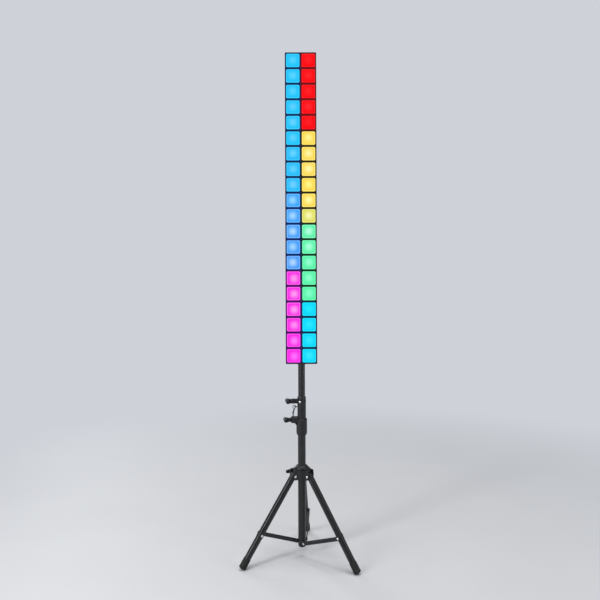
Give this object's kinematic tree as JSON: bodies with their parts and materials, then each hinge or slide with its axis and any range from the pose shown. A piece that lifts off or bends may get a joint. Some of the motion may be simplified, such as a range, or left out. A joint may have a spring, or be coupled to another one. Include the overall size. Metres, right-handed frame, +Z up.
{
  "type": "led light tube",
  "caption": "Upright two-column pixel light bar with raised square diffusers, carried on a telescopic stand with folding tripod legs and screw clamps.",
  "frame": {"origin": "on the floor, on the column's axis, midway between the three feet", "axes": "+Z up along the column; -Y out of the lit face of the bar; +X to the right of someone facing the lit face"},
  "size_m": [0.3741, 0.3425, 1.634],
  "materials": {
    "black_tube": "satin black coated steel tube, fine scuffs",
    "black_powder_coat": "fine textured black powder coat",
    "black_nylon": "glass-filled black nylon, lightly textured",
    "knob_plastic": "semi-gloss black moulded plastic",
    "bush_plastic": "dark grey acetal",
    "rubber": "ribbed black rubber",
    "black_steel": "black painted strip steel",
    "bright_steel": "bright plated steel",
    "dark_screw": "black oxide steel",
    "cord": "thin braided cord",
    "cast_socket": "dark cast aluminium",
    "white_baffle": "white moulded plastic",
    "led_board": "white solder mask",
    "led_emitter": "phosphor dome",
    "battery_wrap": "shrink wrap",
    "circuit_board": "green solder mask",
    "window_glass": "smoked clear window",
    "button_rubber": "dark grey silicone",
    "rocker_plastic": "glossy black plastic",
    "socket_plastic": "black thermoplastic",
    "lens_cyan": "opal diffuser, lit from behind",
    "lens_blue": "opal diffuser, lit from behind",
    "lens_magenta": "opal diffuser, lit from behind",
    "lens_red": "opal diffuser, lit from behind",
    "lens_yellow": "opal diffuser, lit from behind",
    "lens_green": "opal diffuser, lit from behind"
  },
  "bodies": {
    "base_column": {"column_tube": "black_tube", "spreader_hub": "black_nylon", "spreader_pins": "bright_steel", "lower_collar": "black_nylon", "lower_bush": "bush_plastic", "lower_collar_rivets": "dark_screw"},
    "leg_hub": {"leg_hub": "black_nylon", "hub_cap": "black_nylon", "hub_pivot_pins": "bright_steel"},
    "hub_lock_knob": {"hub_lock_knob": "knob_plastic"},
    "lower_clamp_knob": {"lower_clamp_knob": "knob_plastic"},
    "middle_section": {"mid_tube": "black_tube", "upper_collar": "black_nylon", "upper_bush": "bush_plastic", "upper_collar_rivets": "bright_steel"},
    "upper_clamp_knob": {"upper_clamp_knob": "knob_plastic"},
    "locking_pin": {"locking_pin": "dark_screw", "pin_lanyard": "cord"},
    "top_section": {"top_tube": "black_tube"},
    "light_bar": {"bar_housing": "black_powder_coat", "front_grid": "black_powder_coat", "lens_cyan": "lens_cyan", "lens_blue": "lens_blue", "lens_magenta": "lens_magenta", "lens_red": "lens_red", "lens_yellow": "lens_yellow", "lens_green": "lens_green", "cell_baffle": "white_baffle", "led_boards": "led_board", "led_chips": "led_emitter", "battery_pack": "battery_wrap", "control_board": "circuit_board", "top_end_cap": "black_powder_coat", "bottom_end_cap": "black_powder_coat", "pole_socket": "cast_socket", "rear_panel": "black_powder_coat", "display_window": "window_glass", "io_sockets": "socket_plastic", "bar_screws": "dark_screw"},
    "bar_clamp_knob": {"bar_clamp_knob": "knob_plastic"},
    "mode_button": {"mode_button": "button_rubber"},
    "up_button": {"up_button": "button_rubber"},
    "down_button": {"down_button": "button_rubber"},
    "enter_button": {"enter_button": "button_rubber"},
    "power_switch": {"power_switch": "rocker_plastic"},
    "left_leg": {"leg_head_1": "black_nylon", "leg_tube_1": "black_tube", "leg_clip_1": "black_nylon", "foot_1": "rubber"},
    "left_brace": {"brace_1": "black_steel"},
    "right_leg": {"leg_head_2": "black_nylon", "leg_tube_2": "black_tube", "leg_clip_2": "black_nylon", "foot_2": "rubber"},
    "right_brace": {"brace_2": "black_steel"},
    "rear_leg": {"leg_head_3": "black_nylon", "leg_tube_3": "black_tube", "leg_clip_3": "black_nylon", "foot_3": "rubber"},
    "rear_brace": {"brace_3": "black_steel"}
  },
  "joints": [
    {"name": "hub_slide", "type": "slide", "parent": "base_column", "child": "leg_hub", "axis": [0, 0, 1], "range_m": [0, 0.095]},
    {"name": "middle_slide", "type": "slide", "parent": "base_column", "child": "middle_section", "axis": [0, 0, 1], "range_m": [0, 0.3]},
    {"name": "top_slide", "type": "slide", "parent": "middle_section", "child": "top_section", "axis": [0, 0, 1], "range_m": [-0.1, 0.23]},
    {"name": "bar_swivel", "type": "hinge", "parent": "top_section", "child": "light_bar", "pos_m": [0, 0, 0.665], "axis": [0, 0, 1], "continuous": true},
    {"name": "hub_knob_turn", "type": "hinge", "parent": "leg_hub", "child": "hub_lock_knob", "pos_m": [-0.03277, 0.02294, 0.2725], "axis": [-0.8192, 0.5736, 0], "continuous": true},
    {"name": "lower_knob_turn", "type": "hinge", "parent": "base_column", "child": "lower_clamp_knob", "pos_m": [-0.0397, -0.00487, 0.4475], "axis": [-0.9925, -0.1219, 0], "continuous": true},
    {"name": "upper_knob_turn", "type": "hinge", "parent": "middle_section", "child": "upper_clamp_knob", "pos_m": [-0.03474, -0.00427, 0.508], "axis": [-0.9925, -0.1219, 0], "continuous": true},
    {"name": "bar_knob_turn", "type": "hinge", "parent": "light_bar", "child": "bar_clamp_knob", "pos_m": [0, 0.035, 0.665], "axis": [0, 1, 0], "continuous": true},
    {"name": "locking_pin_swing", "type": "hinge", "parent": "middle_section", "child": "locking_pin", "pos_m": [-0.01913, -0.00585, 0.49], "axis": [-0.2924, 0.9563, 0], "range_deg": [0, 10]},
    {"name": "left_leg_fold", "type": "hinge", "parent": "leg_hub", "child": "left_leg", "pos_m": [-0.02764, -0.01289, 0.2685], "axis": [0.4226, -0.9063, 0], "range_deg": [0, 17.33]},
    {"name": "left_brace_fold", "type": "hinge", "parent": "base_column", "child": "left_brace", "pos_m": [-0.0145, -0.00676, 0.051], "axis": [-0.4226, 0.9063, 0], "range_deg": [0, 37.94]},
    {"name": "right_leg_fold", "type": "hinge", "parent": "leg_hub", "child": "right_leg", "pos_m": [0.02498, -0.01749, 0.2685], "axis": [0.5736, 0.8192, 0], "range_deg": [0, 17.33]},
    {"name": "right_brace_fold", "type": "hinge", "parent": "base_column", "child": "right_brace", "pos_m": [0.01311, -0.00918, 0.051], "axis": [-0.5736, -0.8192, 0], "range_deg": [0, 37.94]},
    {"name": "rear_leg_fold", "type": "hinge", "parent": "leg_hub", "child": "rear_leg", "pos_m": [0.00266, 0.03038, 0.2685], "axis": [-0.9962, 0.0872, 0], "range_deg": [0, 17.33]},
    {"name": "rear_brace_fold", "type": "hinge", "parent": "base_column", "child": "rear_brace", "pos_m": [0.00139, 0.01594, 0.051], "axis": [0.9962, -0.0872, 0], "range_deg": [0, 37.94]},
    {"name": "mode_press", "type": "slide", "parent": "light_bar", "child": "mode_button", "axis": [0, -1, 0], "range_m": [0, 0.0015], "stiffness_N_per_m": 400},
    {"name": "up_press", "type": "slide", "parent": "light_bar", "child": "up_button", "axis": [0, -1, 0], "range_m": [0, 0.0015], "stiffness_N_per_m": 400},
    {"name": "down_press", "type": "slide", "parent": "light_bar", "child": "down_button", "axis": [0, -1, 0], "range_m": [0, 0.0015], "stiffness_N_per_m": 400},
    {"name": "enter_press", "type": "slide", "parent": "light_bar", "child": "enter_button", "axis": [0, -1, 0], "range_m": [0, 0.0015], "stiffness_N_per_m": 400},
    {"name": "power_rocker", "type": "hinge", "parent": "light_bar", "child": "power_switch", "pos_m": [-0.018, 0.025, 0.787], "axis": [-1, 0, 0], "range_deg": [0, 8]}
  ],
  "couplings": [
    {"joint": "left_leg_fold", "follows": "hub_slide", "rad_per_m": 3.1807},
    {"joint": "left_brace_fold", "follows": "hub_slide", "rad_per_m": 6.9668},
    {"joint": "right_leg_fold", "follows": "hub_slide", "rad_per_m": 3.1807},
    {"joint": "right_brace_fold", "follows": "hub_slide", "rad_per_m": 6.9668},
    {"joint": "rear_leg_fold", "follows": "hub_slide", "rad_per_m": 3.1807},
    {"joint": "rear_brace_fold", "follows": "hub_slide", "rad_per_m": 6.9668}
  ]
}
